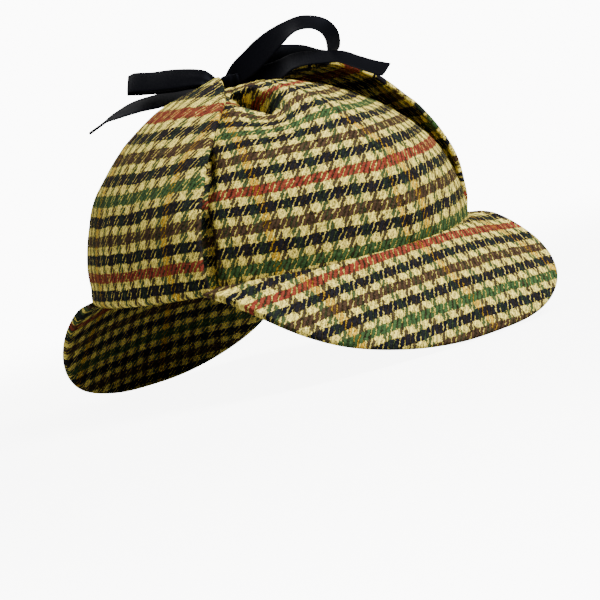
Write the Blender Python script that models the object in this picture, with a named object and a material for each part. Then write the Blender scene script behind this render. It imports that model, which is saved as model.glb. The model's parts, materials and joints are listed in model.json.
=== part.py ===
"""Deerstalker hat: a six-gore cloth crown, a front and a rear peak, two ear flaps
folded up over the crown, and a satin ribbon bow that ties the flap tips together.

The hat is worked out in the plane of its own rim (rim at z = 0, the front towards -Y,
the wearer's left towards +X), in millimetres, and is then set down on its two peaks.
Angles go round the crown from the front, positive towards the wearer's left.
"""

import math
from collections import namedtuple

import bmesh
import bpy
from mathutils import Euler, Matrix, Vector

MM = 0.001

# Driving sizes of the hat, in millimetres and degrees
CROWN_LENGTH = 204.0
CROWN_WIDTH = 171.0
CROWN_HEIGHT = 86.0
GORE_CLOTH = 2.5
GORE_PUFF = 1.0
SEAM_GAP = 0.4

PEAK_CLOTH = 3.6
FRONT_PEAK_REACH = 42.0
FRONT_PEAK_DROP = 43.5
FRONT_PEAK_SPREAD = 82.6
FRONT_PEAK_END = 62.0

REAR_PEAK_REACH = 42.0
REAR_PEAK_DROP = 57.5
REAR_PEAK_SPREAD = 77.0
REAR_PEAK_END = 55.5

FLAP_CLOTH = 2.6
FLAP_CLEARANCE = 0.3
HEM_ROLL = 2.6
RIGHT_STANDOFF = 1.6
LEFT_STANDOFF = 8.5

RIBBON_WIDTH = 12.0
RIBBON_CLOTH = 1.0
BOW_SPAN = 50.0
KNOT_SIZE = Vector((11.0, 10.0, 7.0))
BOW_HEADING = 35.0

REST_FLAT = 0.5

# How the gores, peaks and flaps are cut
GORE_NAMES = (
    "crown_gore_front_left",
    "crown_gore_side_left",
    "crown_gore_back_left",
    "crown_gore_back_right",
    "crown_gore_side_right",
    "crown_gore_front_right",
)
GORE_COUNT = len(GORE_NAMES)
GORE_TOP = 0.985
PEAK_CROWNING = 0.07
PEAK_SHOULDER = 0.58
PEAK_ARCH = 2.3
FLAP_FRONT = 63.5
FLAP_REAR = 122.5
FLAP_WIDENS = 6.0
FLAP_NARROWS = 28.0
FLAP_NARROWS_FROM = 0.6
FLAP_TOP = 0.90
FLAP_TIP_ROUND = 0.10
HEM_RISE = 0.03
HEM_BULGE = 1.2
HEM_STEPS = 3
KNOT_ROUND = 1.3
KNOT_SHIFT = -4.0
KNOT_PLACE = Vector((KNOT_SHIFT, 0.0, CROWN_HEIGHT + SEAM_GAP + KNOT_SIZE.z / 2))

# Rows across the meshes
GORE_COLUMNS = 8
GORE_ROWS = 14
PEAK_COLUMNS = 30
PEAK_ROWS = 6
FLAP_COLUMNS = 12
FLAP_ROWS = 14
RIBBON_STEPS = 28

# Cloth of the crown is pulled in or pushed out at these places: angle round the crown,
# share of the way up, then width across, length up and down and depth inwards, all
# three as shares of the crown's height
Dent = namedtuple("Dent", "angle rise across along depth")
DENTS = (
    Dent(angle=-17, rise=0.78, across=0.09, along=0.15, depth=0.085),
    Dent(angle=-4, rise=0.76, across=0.08, along=0.14, depth=-0.015),
    Dent(angle=-38, rise=0.80, across=0.10, along=0.16, depth=-0.015),
    Dent(angle=-22, rise=0.55, across=0.14, along=0.12, depth=0.02),
    Dent(angle=24, rise=0.60, across=0.16, along=0.19, depth=0.018),
    Dent(angle=150, rise=0.66, across=0.14, along=0.21, depth=0.03),
    Dent(angle=-160, rise=0.60, across=0.14, along=0.19, depth=0.02),
)

# Stand-off of a flap from the crown: share of the way up, then the lift at its front
# edge, in its middle and at its rear edge as shares of the flap's own stand-off
Lift = namedtuple("Lift", "rise front middle rear")
RIGHT_LIFTS = (
    Lift(rise=0.00, front=0.1, middle=0.1, rear=0.1),
    Lift(rise=0.25, front=0.2, middle=0.2, rear=0.1),
    Lift(rise=0.50, front=0.4, middle=1.3, rear=1.6),
    Lift(rise=0.75, front=0.8, middle=2.0, rear=2.2),
    Lift(rise=1.00, front=1.4, middle=1.6, rear=1.4),
)
LEFT_LIFTS = (
    Lift(rise=0.00, front=0.20, middle=0.10, rear=0.05),
    Lift(rise=0.25, front=0.65, middle=0.45, rear=0.25),
    Lift(rise=0.50, front=1.00, middle=0.75, rear=0.45),
    Lift(rise=0.75, front=0.85, middle=0.70, rear=0.50),
    Lift(rise=1.00, front=0.35, middle=0.45, rear=0.35),
)

# Course of a ribbon from the knot: distance out along the bow, to its far side and up
# from the knot's middle, as shares of the bow's span. Its width leans up from level
# and swings round towards the bow's heading by these degrees, and is a share of the
# ribbon's full width.
Turn = namedtuple("Turn", "out side up lean swing width")
FRONT_LOOP = (
    Turn(out=0.118, side=-0.045, up=0.02, lean=80, swing=0, width=0.42),
    Turn(out=0.18, side=-0.045, up=0.02, lean=76, swing=0, width=0.5),
    Turn(out=0.26, side=-0.03, up=0.14, lean=68, swing=0, width=0.75),
    Turn(out=0.37, side=-0.01, up=0.22, lean=64, swing=0, width=1.0),
    Turn(out=0.50, side=0.02, up=0.28, lean=58, swing=0, width=1.0),
    Turn(out=0.62, side=0.06, up=0.35, lean=46, swing=0, width=1.0),
    Turn(out=0.74, side=0.10, up=0.38, lean=33, swing=0, width=1.0),
    Turn(out=0.85, side=0.16, up=0.37, lean=26, swing=2, width=1.0),
    Turn(out=0.94, side=0.22, up=0.31, lean=22, swing=10, width=1.0),
    Turn(out=0.98, side=0.28, up=0.22, lean=16, swing=18, width=1.0),
    Turn(out=0.97, side=0.33, up=0.12, lean=12, swing=20, width=1.0),
    Turn(out=0.93, side=0.35, up=0.02, lean=12, swing=14, width=1.0),
    Turn(out=0.82, side=0.33, up=0.01, lean=18, swing=0, width=1.0),
    Turn(out=0.64, side=0.26, up=0.07, lean=28, swing=0, width=1.0),
    Turn(out=0.35, side=0.16, up=0.06, lean=48, swing=0, width=0.8),
    Turn(out=0.18, side=0.045, up=0.0, lean=74, swing=0, width=0.5),
    Turn(out=0.118, side=0.045, up=0.0, lean=80, swing=0, width=0.42),
)
FRONT_TAIL = (
    Turn(out=0.118, side=0.0, up=0.0, lean=80, swing=0, width=0.42),
    Turn(out=0.18, side=0.0, up=0.0, lean=76, swing=0, width=0.5),
    Turn(out=0.28, side=0.01, up=0.05, lean=62, swing=0, width=0.8),
    Turn(out=0.45, side=0.04, up=0.08, lean=48, swing=0, width=1.0),
    Turn(out=0.61, side=0.06, up=0.10, lean=36, swing=0, width=1.0),
    Turn(out=0.75, side=0.08, up=0.08, lean=30, swing=0, width=1.0),
    Turn(out=0.94, side=0.10, up=0.03, lean=26, swing=0, width=1.0),
    Turn(out=1.09, side=0.10, up=-0.02, lean=24, swing=0, width=1.0),
    Turn(out=1.23, side=0.11, up=-0.10, lean=24, swing=0, width=1.0),
    Turn(out=1.37, side=0.12, up=-0.18, lean=26, swing=0, width=1.0),
    Turn(out=1.50, side=0.12, up=-0.24, lean=28, swing=0, width=1.0),
)
REAR_LOOP = (
    Turn(out=-0.118, side=-0.045, up=0.02, lean=80, swing=0, width=0.42),
    Turn(out=-0.18, side=-0.045, up=0.02, lean=70, swing=0, width=0.5),
    Turn(out=-0.29, side=-0.05, up=0.10, lean=50, swing=0, width=0.8),
    Turn(out=-0.56, side=-0.05, up=0.15, lean=50, swing=0, width=1.0),
    Turn(out=-0.82, side=-0.04, up=0.18, lean=48, swing=0, width=1.0),
    Turn(out=-1.01, side=-0.03, up=0.21, lean=48, swing=0, width=1.0),
    Turn(out=-1.08, side=0.00, up=0.19, lean=48, swing=0, width=1.0),
    Turn(out=-1.04, side=0.03, up=0.17, lean=48, swing=0, width=1.0),
    Turn(out=-0.86, side=0.03, up=0.14, lean=48, swing=0, width=1.0),
    Turn(out=-0.60, side=0.02, up=0.11, lean=50, swing=0, width=1.0),
    Turn(out=-0.30, side=0.00, up=0.07, lean=50, swing=0, width=0.8),
    Turn(out=-0.18, side=0.0, up=0.0, lean=70, swing=0, width=0.5),
    Turn(out=-0.118, side=0.0, up=0.0, lean=80, swing=0, width=0.42),
)
REAR_TAIL = (
    Turn(out=-0.118, side=0.045, up=0.0, lean=80, swing=0, width=0.42),
    Turn(out=-0.18, side=0.045, up=0.0, lean=64, swing=0, width=0.5),
    Turn(out=-0.31, side=0.05, up=0.0, lean=24, swing=0, width=0.8),
    Turn(out=-0.52, side=0.04, up=-0.01, lean=28, swing=0, width=1.0),
    Turn(out=-0.78, side=0.00, up=-0.02, lean=34, swing=0, width=1.0),
    Turn(out=-0.96, side=-0.02, up=-0.02, lean=32, swing=0, width=1.0),
    Turn(out=-1.09, side=-0.03, up=-0.03, lean=30, swing=0, width=1.0),
    Turn(out=-1.20, side=-0.04, up=-0.05, lean=27, swing=0, width=0.9),
    Turn(out=-1.33, side=-0.04, up=-0.08, lean=20, swing=0, width=0.7),
    Turn(out=-1.45, side=-0.04, up=-0.13, lean=12, swing=0, width=0.45),
    Turn(out=-1.58, side=-0.04, up=-0.18, lean=5, swing=0, width=0.12),
)


def oval(angle, grow=0.0):
    """A point of the rim's oval, seen from above, grown outwards."""
    turn = math.radians(angle)
    return Vector(
        (
            (CROWN_WIDTH / 2 + grow) * math.sin(turn),
            -(CROWN_LENGTH / 2 + grow) * math.cos(turn),
            0.0,
        )
    )


# The crown's profile is a superellipse: upright at the rim and rounded over at the top
PROFILE_UP = 2.4
PROFILE_IN = 1.6
PROFILE_SAMPLES = 240


def profile_course():
    """Points (reach, height) of the profile in shares, and the length gone at each."""
    points = []
    for i in range(PROFILE_SAMPLES + 1):
        turn = math.pi / 2 * i / PROFILE_SAMPLES
        reach = max(0.0, math.cos(turn)) ** (2 / PROFILE_IN)
        points.append((reach, math.sin(turn) ** (2 / PROFILE_UP)))
    gone = [0.0]
    for (r0, h0), (r1, h1) in zip(points, points[1:]):
        step = math.hypot((r1 - r0) * CROWN_LENGTH / 2, (h1 - h0) * CROWN_HEIGHT)
        gone.append(gone[-1] + step)
    return points, gone


PROFILE, PROFILE_GONE = profile_course()
PROFILE_LENGTH = PROFILE_GONE[-1]


def profile(rise):
    """Reach and height, in shares, at this share of the way up the profile."""
    target = min(max(rise, 0.0), 1.0) * PROFILE_LENGTH
    low, high = 0, PROFILE_SAMPLES
    while high - low > 1:
        middle = (low + high) // 2
        if PROFILE_GONE[middle] > target:
            high = middle
        else:
            low = middle
    span = PROFILE_GONE[high] - PROFILE_GONE[low]
    share = (target - PROFILE_GONE[low]) / span
    (r0, h0), (r1, h1) = PROFILE[low], PROFILE[high]
    return r0 + (r1 - r0) * share, h0 + (h1 - h0) * share


def plain_crown(angle, rise):
    """A point of the crown's outside before its seams and dents."""
    reach, height = profile(rise)
    point = oval(angle) * reach
    point.z = CROWN_HEIGHT * height
    return point


def crown_normal(angle, rise):
    """The way out of the crown there."""
    rise = min(max(rise, 0.02), 0.985)
    across = plain_crown(angle + 0.5, rise) - plain_crown(angle - 0.5, rise)
    up = plain_crown(angle, rise + 0.01) - plain_crown(angle, rise - 0.01)
    return across.cross(up).normalized()


def angle_between(a, b):
    """The turn from b to a, from -180 to 180 degrees."""
    return (a - b + 180.0) % 360.0 - 180.0


def dent_depth(angle, rise):
    """How far the dents pull the cloth in at this place, in millimetres."""
    reach = profile(rise)[0]
    total = 0.0
    for dent in DENTS:
        across = math.radians(angle_between(angle, dent.angle)) * reach * CROWN_WIDTH / 2
        along = (rise - dent.rise) * PROFILE_LENGTH
        sideways = across / (dent.across * CROWN_HEIGHT)
        upwards = along / (dent.along * CROWN_HEIGHT)
        total += dent.depth * CROWN_HEIGHT * math.exp(-(sideways**2) - upwards**2)
    return total


def gore_point(angle, rise, share):
    """A point of a gore's outside, share of the way across it."""
    reach = profile(rise)[0]
    puff = GORE_PUFF * math.sin(math.pi * share) * min(1.0, reach * 2)
    out = puff - dent_depth(angle, rise)
    return plain_crown(angle, rise) + crown_normal(angle, rise) * out


def blended(rows, rise, name):
    """A column's value between the rows of a table that has a rise column."""
    rise = min(max(rise, rows[0].rise), rows[-1].rise)
    for low, high in zip(rows, rows[1:]):
        if rise <= high.rise:
            share = (rise - low.rise) / (high.rise - low.rise)
            share = share * share * (3 - 2 * share)
            return getattr(low, name) * (1 - share) + getattr(high, name) * share
    return getattr(rows[-1], name)


def material(name, colour, roughness):
    """A cloth finish from its linear colour and roughness."""
    made = bpy.data.materials.new(name)
    made.use_nodes = True
    shader = made.node_tree.nodes["Principled BSDF"]
    shader.inputs["Base Color"].default_value = (*colour, 1.0)
    shader.inputs["Roughness"].default_value = roughness
    shader.inputs["Metallic"].default_value = 0.0
    return made


def cloth(name, grid, thickness, finish):
    """A wall of cloth around a grid of points on its middle, rows of columns."""
    columns, rows = len(grid[0]), len(grid)
    sheet = bmesh.new()
    bmesh.ops.create_grid(sheet, x_segments=columns - 1, y_segments=rows - 1, size=0.5)
    sheet.verts.ensure_lookup_table()
    for index, vertex in enumerate(sheet.verts):
        vertex.co = grid[index // columns][index % columns] * MM
    mesh = bpy.data.meshes.new(name)
    sheet.to_mesh(mesh)
    sheet.free()
    mesh.materials.append(finish)
    mesh.shade_smooth()
    mesh.set_sharp_from_angle(angle=math.radians(50))
    made = bpy.data.objects.new(name, mesh)
    bpy.context.scene.collection.objects.link(made)
    wall = made.modifiers.new("Cloth", "SOLIDIFY")
    wall.thickness = thickness * MM
    wall.offset = 0.0
    wall.use_even_offset = True
    return made


def spread(count, low=0.0, high=1.0):
    """Evenly spaced values, both ends included."""
    return [low + (high - low) * i / count for i in range(count + 1)]


def smooth_course(rows, steps):
    """Points of a smooth curve through the rows of a table, as lists of its columns."""
    keys = [0.0]
    for a, b in zip(rows, rows[1:]):
        keys.append(keys[-1] + math.dist(a[:3], b[:3]))
    course = []
    for target in spread(steps, 0.0, keys[-1]):
        i = max(k for k in range(len(rows) - 1) if keys[k] <= target + 1e-9)
        before, after = max(i - 1, 0), min(i + 2, len(rows) - 1)
        width = keys[i + 1] - keys[i]
        t = (target - keys[i]) / width
        point = []
        for column in range(len(rows[0])):
            a, b = rows[i][column], rows[i + 1][column]
            slope_a = (b - rows[before][column]) / (keys[i + 1] - keys[before]) * width
            slope_b = (rows[after][column] - a) / (keys[after] - keys[i]) * width
            point.append(
                (2 * t**3 - 3 * t**2 + 1) * a
                + (t**3 - 2 * t**2 + t) * slope_a
                + (3 * t**2 - 2 * t**3) * b
                + (t**3 - t**2) * slope_b
            )
        course.append(point)
    return course


def crown_gore(name, start, finish):
    """One of the six gores, from its seam at angle start to the next one."""
    sweep = 360.0 / GORE_COUNT
    grid = []
    for rise in spread(GORE_ROWS, 0.0, GORE_TOP):
        radius = profile(rise)[0] * CROWN_WIDTH / 2
        inset = math.degrees(SEAM_GAP / 2 / radius)
        row = []
        for share in spread(GORE_COLUMNS):
            angle = start + inset + (sweep - 2 * inset) * share
            outside = gore_point(angle, rise, share)
            row.append(outside - crown_normal(angle, rise) * GORE_CLOTH / 2)
        grid.append(row)
    return cloth(name, grid, GORE_CLOTH, finish)


def peak(name, middle, end, reach, drop, spread_wide, finish):
    """A stiffened peak: its inner edge under the rim, its outer edge out and down."""
    seat = -(SEAM_GAP + PEAK_CLOTH / 2)
    facing = -1.0 if middle == 0 else 1.0
    corner = CROWN_LENGTH / 2 * math.cos(math.radians(end))
    length = CROWN_LENGTH / 2 + reach - corner
    grid = []
    for row_share in spread(PEAK_ROWS):
        row = []
        for share in spread(PEAK_COLUMNS, -1.0, 1.0):
            inner = oval(middle + facing * -share * end, -GORE_CLOTH / 2)
            inner.z = seat
            turn = share * math.pi / 2
            outer = Vector(
                (
                    spread_wide * math.sin(turn),
                    facing * (corner + length * max(math.cos(turn), 0.0) ** PEAK_SHOULDER),
                    seat - drop * (1 - abs(share) ** PEAK_ARCH),
                )
            )
            point = inner.lerp(outer, row_share)
            point.z += drop * PEAK_CROWNING * math.sin(math.pi * row_share) * (1 - share**4)
            row.append(point)
        grid.append(row)
    return cloth(name, grid, PEAK_CLOTH, finish)


def ear_flap(name, side, standoff, lifts, finish):
    """A flap from under the rim, round its rolled hem and up over the crown."""
    base = GORE_PUFF + FLAP_CLEARANCE + FLAP_CLOTH / 2
    seat = -(SEAM_GAP + FLAP_CLOTH / 2)
    grid = []
    for out, down in hem_rows(base, seat):
        row = []
        for share in spread(FLAP_COLUMNS):
            angle = side * (FLAP_FRONT + (FLAP_REAR - FLAP_FRONT) * share)
            point = oval(angle, out)
            point.z = down
            row.append(point)
        grid.append(row)
    for row_share in spread(FLAP_ROWS):
        row = []
        for share in spread(FLAP_COLUMNS):
            edge = abs(2 * share - 1)
            top = FLAP_TOP * (1 - FLAP_TIP_ROUND * edge**3)
            rise = HEM_RISE + (top - HEM_RISE) * row_share
            front = FLAP_FRONT - FLAP_WIDENS * rise
            beyond = max(0.0, rise - FLAP_NARROWS_FROM) / (FLAP_TOP - FLAP_NARROWS_FROM)
            rear = FLAP_REAR + FLAP_WIDENS * rise - FLAP_NARROWS * beyond**2
            angle = side * (front + (rear - front) * share)
            lift = flap_lift(lifts, rise, share)
            out = base + lift * standoff
            row.append(plain_crown(angle, rise) + crown_normal(angle, rise) * out)
        grid.append(row)
    return cloth(name, grid, FLAP_CLOTH, finish)


def flap_lift(lifts, rise, share):
    """Stand-off of a flap between the columns of its table."""
    front = blended(lifts, rise, "front")
    middle = blended(lifts, rise, "middle")
    rear = blended(lifts, rise, "rear")
    if share < 0.5:
        mix = share * 2
        mix = mix * mix * (3 - 2 * mix)
        return front * (1 - mix) + middle * mix
    mix = share * 2 - 1
    mix = mix * mix * (3 - 2 * mix)
    return middle * (1 - mix) + rear * mix


def hem_rows(base, seat):
    """The hem's section: distance out from the crown and height, from under the rim."""
    rows = [(-GORE_CLOTH / 2, seat), (0.0, seat)]
    centre = base + HEM_BULGE - HEM_ROLL
    for turn in spread(HEM_STEPS, 0.0, 90.0):
        along = math.radians(turn)
        rows.append(
            (centre + HEM_ROLL * math.sin(along), seat + HEM_ROLL * (1 - math.cos(along)))
        )
    return rows


def ribbon(name, turns, finish):
    """A flat strip of ribbon along its turns, seen from the knot."""
    heading = math.radians(BOW_HEADING)
    ahead = Vector((math.sin(heading), -math.cos(heading), 0.0))
    aside = Vector((math.cos(heading), math.sin(heading), 0.0))
    upward = Vector((0.0, 0.0, 1.0))
    course = [Turn(*row) for row in smooth_course(turns, RIBBON_STEPS)]
    places = [
        KNOT_PLACE + (ahead * t.out + aside * t.side + upward * t.up) * BOW_SPAN
        for t in course
    ]
    grid = []
    for i, (turn, place) in enumerate(zip(course, places)):
        along = places[min(i + 1, RIBBON_STEPS)] - places[max(i - 1, 0)]
        along.normalize()
        lean = math.radians(turn.lean)
        swing = math.radians(turn.swing)
        level = aside * math.cos(swing) + ahead * math.sin(swing)
        across = level * math.cos(lean) + upward * math.sin(lean)
        across -= along * across.dot(along)
        half = across.normalized() * RIBBON_WIDTH / 2 * turn.width
        grid.append([place - half, place, place + half])
    return cloth(name, grid, RIBBON_CLOTH, finish)


def knot(name, finish):
    """The knot: a rounded block of ribbon."""
    block = bmesh.new()
    bmesh.ops.create_cube(block, size=1.0)
    bmesh.ops.scale(block, vec=KNOT_SIZE * MM, verts=block.verts)
    bmesh.ops.bevel(
        block,
        geom=block.edges[:],
        offset=KNOT_ROUND * MM,
        offset_type="OFFSET",
        segments=3,
        profile=0.5,
        affect="EDGES",
        material=-1,
    )
    heading = Matrix.Rotation(math.radians(BOW_HEADING - 90.0), 4, "Z")
    bmesh.ops.transform(block, matrix=heading, verts=block.verts)
    bmesh.ops.translate(block, vec=KNOT_PLACE * MM, verts=block.verts)
    mesh = bpy.data.meshes.new(name)
    block.to_mesh(mesh)
    block.free()
    mesh.materials.append(finish)
    mesh.shade_smooth()
    made = bpy.data.objects.new(name, mesh)
    bpy.context.scene.collection.objects.link(made)
    return made


def evaluated_points(made):
    """An object's points in the world, with its modifiers."""
    graph = bpy.context.evaluated_depsgraph_get()
    seen = made.evaluated_get(graph)
    return [seen.matrix_world @ v.co for v in seen.data.vertices]


def lowest(points, pitch):
    """Height of the lowest of these points with the hat pitched."""
    turned = Euler((pitch, 0.0, 0.0)).to_matrix()
    return min((turned @ p).z for p in points)


def rest_pitch(front_points, rear_points):
    """The pitch that puts both peaks on the ground, front down if positive."""
    low, high = math.radians(-30), math.radians(30)
    for _ in range(40):
        middle = (low + high) / 2
        if lowest(front_points, middle) > lowest(rear_points, middle):
            low = middle
        else:
            high = middle
    return (low + high) / 2


def rest_cut(made, ground):
    """Flattens the cloth of a peak where it rests."""
    flat = made.modifiers.new("Rest", "BOOLEAN")
    flat.operation = "DIFFERENCE"
    flat.solver = "EXACT"
    flat.object = ground


def main():
    for old in list(bpy.data.objects):
        bpy.data.objects.remove(old)
    tweed = material("Houndstooth tweed", (0.34, 0.27, 0.13), 0.95)
    peak_tweed = material("Stiffened tweed", (0.36, 0.29, 0.15), 0.95)
    satin = material("Black satin ribbon", (0.006, 0.006, 0.009), 0.42)

    made = []
    sweep = 360.0 / GORE_COUNT
    for index, gore_name in enumerate(GORE_NAMES):
        made.append(crown_gore(gore_name, index * sweep, tweed))
    front = peak(
        "front_peak", 0, FRONT_PEAK_END, FRONT_PEAK_REACH, FRONT_PEAK_DROP,
        FRONT_PEAK_SPREAD, peak_tweed,
    )
    rear = peak(
        "rear_peak", 180, REAR_PEAK_END, REAR_PEAK_REACH, REAR_PEAK_DROP,
        REAR_PEAK_SPREAD, peak_tweed,
    )
    made += [front, rear]
    made.append(ear_flap("ear_flap_right", -1, RIGHT_STANDOFF, RIGHT_LIFTS, tweed))
    made.append(ear_flap("ear_flap_left", 1, LEFT_STANDOFF, LEFT_LIFTS, tweed))
    made.append(knot("ribbon_knot", satin))
    made.append(ribbon("ribbon_loop_front", FRONT_LOOP, satin))
    made.append(ribbon("ribbon_loop_rear", REAR_LOOP, satin))
    made.append(ribbon("ribbon_tail_front", FRONT_TAIL, satin))
    made.append(ribbon("ribbon_tail_rear", REAR_TAIL, satin))

    hat = bpy.data.objects.new("hat", None)
    bpy.context.scene.collection.objects.link(hat)
    for part in made:
        part.parent = hat
    bpy.context.view_layer.update()
    pitch = rest_pitch(evaluated_points(front), evaluated_points(rear))
    hat.rotation_euler = (pitch, 0.0, 0.0)
    bpy.context.view_layer.update()
    points = [p for part in made for p in evaluated_points(part)]
    lows = [min(p[axis] for p in points) for axis in range(3)]
    highs = [max(p[axis] for p in points) for axis in range(3)]
    hat.location = (
        -(lows[0] + highs[0]) / 2,
        -(lows[1] + highs[1]) / 2,
        -lows[2] - REST_FLAT * MM,
    )
    bpy.ops.mesh.primitive_cube_add(size=1.0, location=(0.0, 0.0, -0.5))
    ground = bpy.context.object
    ground.name = "ground_cutter"
    ground.hide_render = True
    ground.display_type = "WIRE"
    rest_cut(front, ground)
    rest_cut(rear, ground)


main()
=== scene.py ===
"""Deerstalker hat in gun-club houndstooth tweed, tied over the top with a satin ribbon.

The hat is worked out in the plane of its own rim: the rim at z = 0, the front towards
-Y, the wearer's left towards +X, lengths in millimetres, and angles round the crown
from the front, positive towards the wearer's left. It is then set down on its peaks.
"""

import json
import math
from collections import namedtuple

import bmesh
import bpy
from mathutils import Matrix, Vector, noise


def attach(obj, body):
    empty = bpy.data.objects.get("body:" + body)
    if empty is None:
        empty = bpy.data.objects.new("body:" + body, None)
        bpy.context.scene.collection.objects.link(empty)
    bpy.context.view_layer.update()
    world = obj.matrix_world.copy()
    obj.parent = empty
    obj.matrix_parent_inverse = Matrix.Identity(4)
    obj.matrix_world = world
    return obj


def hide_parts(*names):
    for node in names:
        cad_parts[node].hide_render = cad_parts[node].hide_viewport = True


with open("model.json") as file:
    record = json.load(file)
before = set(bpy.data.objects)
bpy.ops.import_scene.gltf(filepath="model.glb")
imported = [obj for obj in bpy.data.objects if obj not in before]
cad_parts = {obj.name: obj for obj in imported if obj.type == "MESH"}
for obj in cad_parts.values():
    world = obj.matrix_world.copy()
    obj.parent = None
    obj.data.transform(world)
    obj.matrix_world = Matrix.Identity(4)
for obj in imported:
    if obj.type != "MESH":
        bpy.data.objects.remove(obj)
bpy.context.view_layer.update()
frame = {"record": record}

MM = 0.001

# The hat stands on the lowest edges of its two peaks, so the plane of its rim is a
# little nose down. The head opening's place and axis say where the rim ended up.
opening = next(m for m in frame["record"]["mounts"] if m["name"] == "head_opening")
nose_down = math.atan2(opening["axis"][1], -opening["axis"][2])
set_down = Matrix.Translation(opening["pos_m"]) @ Matrix.Rotation(nose_down, 4, "X")


def placed(point):
    """A point of the hat, from millimetres in the rim's frame to its place."""
    return set_down @ (point * MM)


# The camera: round from the front by the wearer's right side, a little above the rim,
# and turned about its own axis as the photograph is. The scale is read at the crown.
EYE_AROUND = math.radians(-34.9)
EYE_ABOVE = math.radians(4.6)
EYE_ROLL = math.radians(13.6)
EYE_DISTANCE = 1300.0
PICTURE_SIDE = 600
PIXELS_PER_MM = 2.055
RIM_CENTRE_AT = (282.4, 256.7)
SENSOR_WIDTH = 36.0


def way_to(around, above):
    """The direction of a place this far round from the front and above the rim."""
    return Vector(
        (
            math.sin(around) * math.cos(above),
            -math.cos(around) * math.cos(above),
            math.sin(above),
        )
    )


towards_eye = way_to(EYE_AROUND, EYE_ABOVE)
level = Vector((math.cos(EYE_AROUND), math.sin(EYE_AROUND), 0.0))
upright = towards_eye.cross(level)
eye_right = level * math.cos(EYE_ROLL) - upright * math.sin(EYE_ROLL)
eye_up = level * math.sin(EYE_ROLL) + upright * math.cos(EYE_ROLL)
eye_place = Matrix((eye_right, eye_up, towards_eye)).transposed().to_4x4()
eye_place.translation = towards_eye * EYE_DISTANCE * MM
lens = bpy.data.cameras.new("Camera")
lens.sensor_width = SENSOR_WIDTH
lens.lens = SENSOR_WIDTH * PIXELS_PER_MM * EYE_DISTANCE / PICTURE_SIDE
lens.shift_x = (PICTURE_SIDE / 2 - RIM_CENTRE_AT[0]) / PICTURE_SIDE
lens.shift_y = (RIM_CENTRE_AT[1] - PICTURE_SIDE / 2) / PICTURE_SIDE
lens.clip_start = 0.05
camera = bpy.data.objects.new("Camera", lens)
bpy.context.scene.collection.objects.link(camera)
camera.matrix_world = set_down @ eye_place
bpy.context.scene.camera = camera


def paint(hex_colour):
    """An sRGB hex colour as the linear values that a shader takes."""
    values = [int(hex_colour[i : i + 2], 16) / 255 for i in (1, 3, 5)]
    linear = [v / 12.92 if v <= 0.04045 else ((v + 0.055) / 1.055) ** 2.4 for v in values]
    return (*linear, 1.0)


def add_node(tree, kind, inputs=None, **settings):
    """Adds a node with its settings. An input is a value or another node's output."""
    made = tree.nodes.new(kind)
    for key, value in settings.items():
        setattr(made, key, value)
    for key, value in (inputs or {}).items():
        if isinstance(value, bpy.types.NodeSocket):
            tree.links.new(value, made.inputs[key])
        else:
            made.inputs[key].default_value = value
    return made


# The studio: a matt white floor that runs out into an even white surround, a large soft
# light above and to the right of the camera, and two weak ones at the side and behind.
# The surround is brighter to look at than it is as a light, so the hat keeps its shading.
STUDIO_WHITE = "#F6F6F5"
FLOOR_MATT = "#B4B4B2"
SURROUND_SEEN = 12.0
SURROUND_LIGHT = 0.25
FLOOR_RADIUS = 9.0
FLOOR_SIDES = 96
FLOOR_FADE_FROM = 0.22
FLOOR_FADE_TO = 1.0
FLOOR_GLOW = 8.0


def strength_of(tree, light, seen):
    """A glow that is this strong as a light, and this strong to look at."""
    ray = add_node(tree, "ShaderNodeLightPath")
    return add_node(
        tree,
        "ShaderNodeMix",
        {0: ray.outputs["Is Camera Ray"], 2: light, 3: seen},
        data_type="FLOAT",
    ).outputs[0]


surround = bpy.data.worlds.new("Studio surround")
surround.use_nodes = True
tree = surround.node_tree
background = tree.nodes["Background"]
background.inputs["Color"].default_value = paint(STUDIO_WHITE)
tree.links.new(
    strength_of(tree, SURROUND_LIGHT, SURROUND_SEEN), background.inputs["Strength"]
)
bpy.context.scene.world = surround

disc = bmesh.new()
bmesh.ops.create_circle(disc, cap_ends=True, radius=FLOOR_RADIUS, segments=FLOOR_SIDES)
floor_mesh = bpy.data.meshes.new("studio_floor")
disc.to_mesh(floor_mesh)
disc.free()
floor = bpy.data.objects.new("studio_floor", floor_mesh)
bpy.context.scene.collection.objects.link(floor)
floor_finish = bpy.data.materials.new("Matt white floor")
floor_finish.use_nodes = True
tree = floor_finish.node_tree
tree.nodes.clear()
where = add_node(tree, "ShaderNodeTexCoord")
away = add_node(
    tree, "ShaderNodeVectorMath", {0: where.outputs["Object"]}, operation="LENGTH"
)
fade = add_node(
    tree,
    "ShaderNodeMapRange",
    {
        "Value": away.outputs["Value"],
        "From Min": FLOOR_FADE_FROM,
        "From Max": FLOOR_FADE_TO,
    },
    interpolation_type="SMOOTHSTEP",
)
matt = add_node(tree, "ShaderNodeBsdfDiffuse", {"Color": paint(FLOOR_MATT)})
shine = add_node(
    tree,
    "ShaderNodeEmission",
    {"Color": paint(STUDIO_WHITE), "Strength": strength_of(tree, 0.0, FLOOR_GLOW)},
)
near_floor = add_node(
    tree, "ShaderNodeAddShader", {0: matt.outputs["BSDF"], 1: shine.outputs["Emission"]}
)
far_floor = add_node(
    tree,
    "ShaderNodeEmission",
    {
        "Color": paint(STUDIO_WHITE),
        "Strength": strength_of(tree, SURROUND_LIGHT, SURROUND_SEEN),
    },
)
floor_mix = add_node(
    tree,
    "ShaderNodeMixShader",
    {
        0: fade.outputs["Result"],
        1: near_floor.outputs["Shader"],
        2: far_floor.outputs["Emission"],
    },
)
add_node(tree, "ShaderNodeOutputMaterial", {"Surface": floor_mix.outputs["Shader"]})
floor_mesh.materials.append(floor_finish)

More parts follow.
